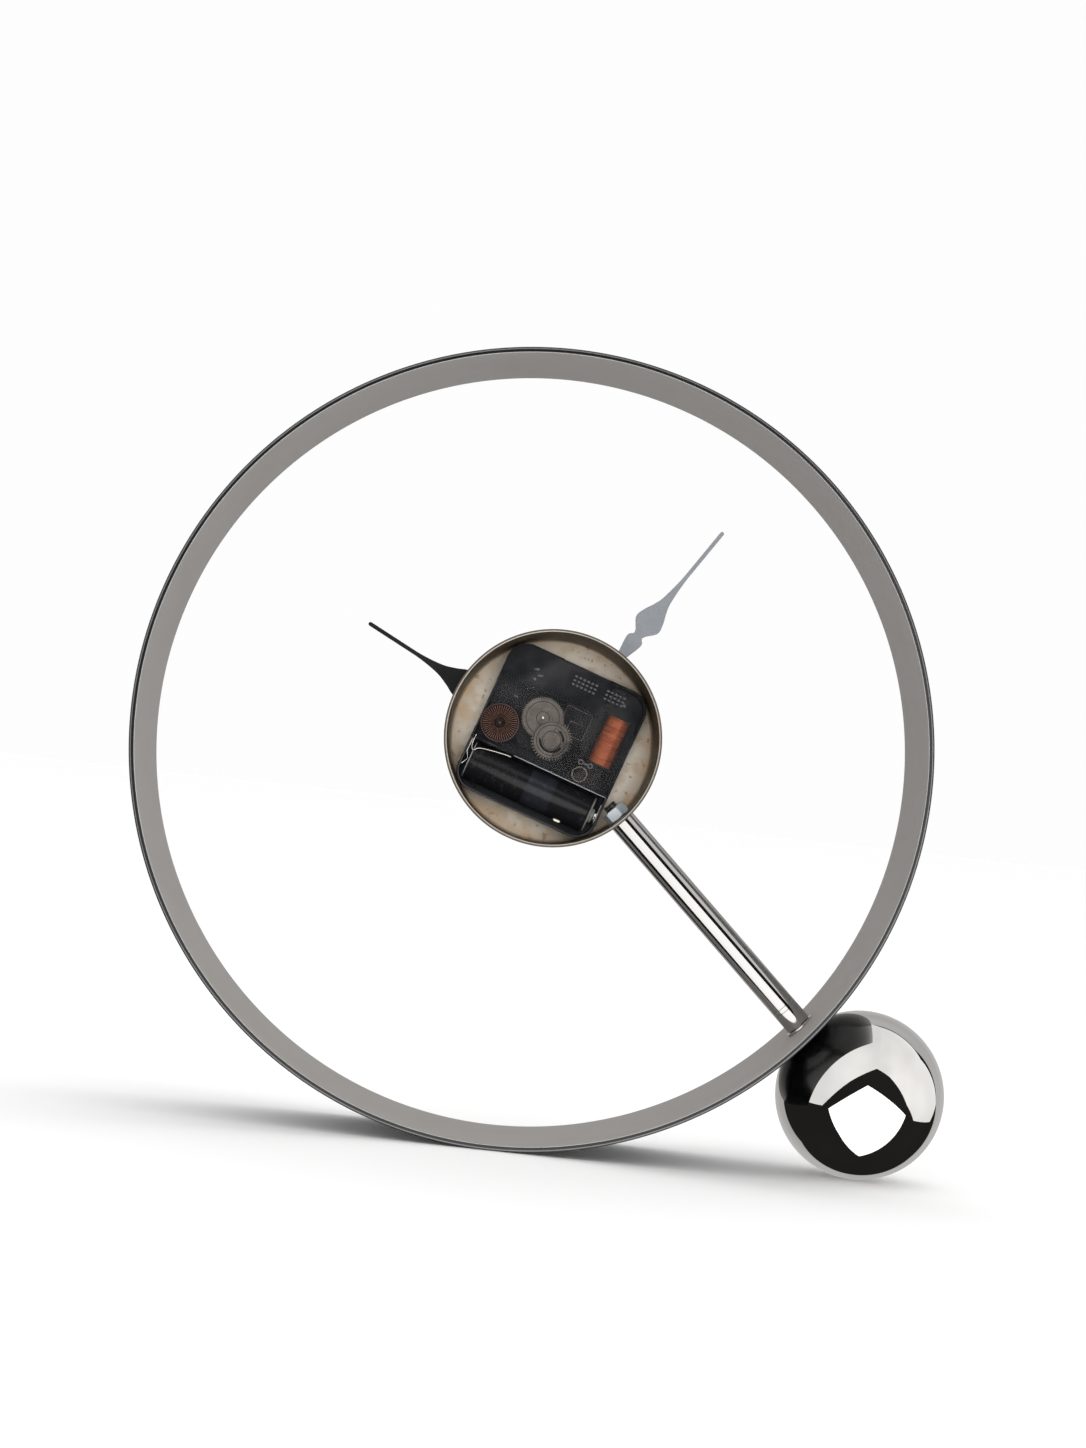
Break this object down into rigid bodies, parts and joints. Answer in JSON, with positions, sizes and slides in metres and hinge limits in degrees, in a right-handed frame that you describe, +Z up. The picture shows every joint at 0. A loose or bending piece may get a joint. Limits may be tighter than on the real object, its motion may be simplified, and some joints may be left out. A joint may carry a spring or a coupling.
{
  "type": "table clock",
  "caption": "Open hoop table clock standing on its rim and a polished ball, with a small cup on a rod holding a quartz movement and two leaf-shaped hands.",
  "frame": {"origin": "on the floor under the middle of the bounding box", "axes": "+Z up, hands face -Y, open back of the cup faces +Y, ball on the -X side"},
  "size_m": [0.2996, 0.06, 0.28],
  "materials": {
    "hoop_metal": "satin grey inside, polished dark edge",
    "cup_metal": "spun, stained inside",
    "rod_chrome": "polished",
    "ball_chrome": "mirror polished",
    "zinc_steel": "zinc plated",
    "case_plastic": "smooth dark moulding",
    "cover_plastic": "smoked translucent moulding",
    "brass": "turned",
    "rubber": "matte",
    "contact_metal": "nickel plated spring strip",
    "soft_iron": "stamped",
    "copper_wire": "enamelled copper wire, wound",
    "wheel_plastic": "translucent off-white moulding",
    "set_wheel_plastic": "dark brown moulding",
    "board": "lacquered board",
    "chip": "resin",
    "crystal_can": "drawn can",
    "battery_label": "dark sleeve, plain",
    "minute_hand_metal": "satin",
    "hour_hand_metal": "gloss black",
    "magnet": "sintered magnet with moulded pinion"
  },
  "bodies": {
    "clock_frame": {"ring_hoop": "hoop_metal", "hub_cup": "cup_metal", "support_rod": "rod_chrome", "rod_washer": "rod_chrome", "ball": "ball_chrome", "ring_stud": "zinc_steel", "hub_nut": "zinc_steel", "movement_case": "case_plastic", "movement_cover": "cover_plastic", "gear_bridge": "case_plastic", "center_bush": "brass", "rubber_washer": "rubber", "mounting_washer": "brass", "mounting_nut": "brass", "positive_contact": "contact_metal", "negative_contact": "contact_metal", "coil_core": "soft_iron", "coil_bobbin": "wheel_plastic", "coil_winding": "copper_wire", "stator_plate": "soft_iron", "circuit_board": "board", "circuit_chip": "chip", "quartz_crystal": "crystal_can"},
    "battery": {"battery_cell": "battery_label"},
    "minute_hand_arbor": {"minute_arbor": "brass", "minute_hand": "minute_hand_metal", "minute_collet": "brass", "hand_cap": "brass"},
    "hour_hand_arbor": {"hour_wheel": "wheel_plastic", "hour_hand": "hour_hand_metal", "hour_collet": "brass"},
    "minute_wheel": {"minute_wheel": "wheel_plastic"},
    "set_wheel": {"set_wheel": "set_wheel_plastic"},
    "second_wheel": {"second_wheel": "wheel_plastic"},
    "third_wheel": {"third_wheel": "wheel_plastic"},
    "centre_gear": {"centre_gear": "wheel_plastic"},
    "intermediate_wheel": {"intermediate_wheel": "wheel_plastic"},
    "rotor": {"rotor": "magnet"}
  },
  "joints": [
    {"name": "minute_hand_spin", "type": "hinge", "parent": "clock_frame", "child": "minute_hand_arbor", "pos_m": [0.00294, -0.0218, 0.1444], "axis": [0, 1, 0], "continuous": true},
    {"name": "minute_wheel_spin", "type": "hinge", "parent": "clock_frame", "child": "minute_wheel", "pos_m": [0.01076, -0.0218, 0.1461], "axis": [0, 1, 0], "continuous": true},
    {"name": "hour_hand_spin", "type": "hinge", "parent": "clock_frame", "child": "hour_hand_arbor", "pos_m": [0.00294, -0.0218, 0.1444], "axis": [0, 1, 0], "continuous": true},
    {"name": "set_wheel_spin", "type": "hinge", "parent": "clock_frame", "child": "set_wheel", "pos_m": [0.02229, -0.0218, 0.14862], "axis": [0, 1, 0], "continuous": true},
    {"name": "second_wheel_spin", "type": "hinge", "parent": "clock_frame", "child": "second_wheel", "pos_m": [0.00294, -0.0218, 0.1444], "axis": [0, 1, 0], "continuous": true},
    {"name": "third_wheel_spin", "type": "hinge", "parent": "clock_frame", "child": "third_wheel", "pos_m": [0.00698, -0.0218, 0.1521], "axis": [0, 1, 0], "continuous": true},
    {"name": "centre_gear_spin", "type": "hinge", "parent": "clock_frame", "child": "centre_gear", "pos_m": [0.00294, -0.0218, 0.1444], "axis": [0, 1, 0], "continuous": true},
    {"name": "intermediate_wheel_spin", "type": "hinge", "parent": "clock_frame", "child": "intermediate_wheel", "pos_m": [-0.00351, -0.0218, 0.13852], "axis": [0, 1, 0], "continuous": true},
    {"name": "rotor_spin", "type": "hinge", "parent": "clock_frame", "child": "rotor", "pos_m": [-0.00823, -0.0218, 0.13312], "axis": [0, 1, 0], "continuous": true},
    {"name": "battery_slide", "type": "slide", "parent": "clock_frame", "child": "battery", "axis": [0, 1, 0], "range_m": [0, 0.03]}
  ],
  "couplings": [
    {"joint": "minute_wheel_spin", "follows": "minute_hand_spin", "ratio": -0.33333},
    {"joint": "hour_hand_spin", "follows": "minute_hand_spin", "ratio": 0.083333},
    {"joint": "set_wheel_spin", "follows": "minute_hand_spin", "ratio": 0.34483},
    {"joint": "third_wheel_spin", "follows": "second_wheel_spin", "ratio": -0.13333},
    {"joint": "centre_gear_spin", "follows": "second_wheel_spin", "ratio": 0.016667},
    {"joint": "intermediate_wheel_spin", "follows": "second_wheel_spin", "ratio": -5},
    {"joint": "rotor_spin", "follows": "second_wheel_spin", "ratio": 30}
  ]
}
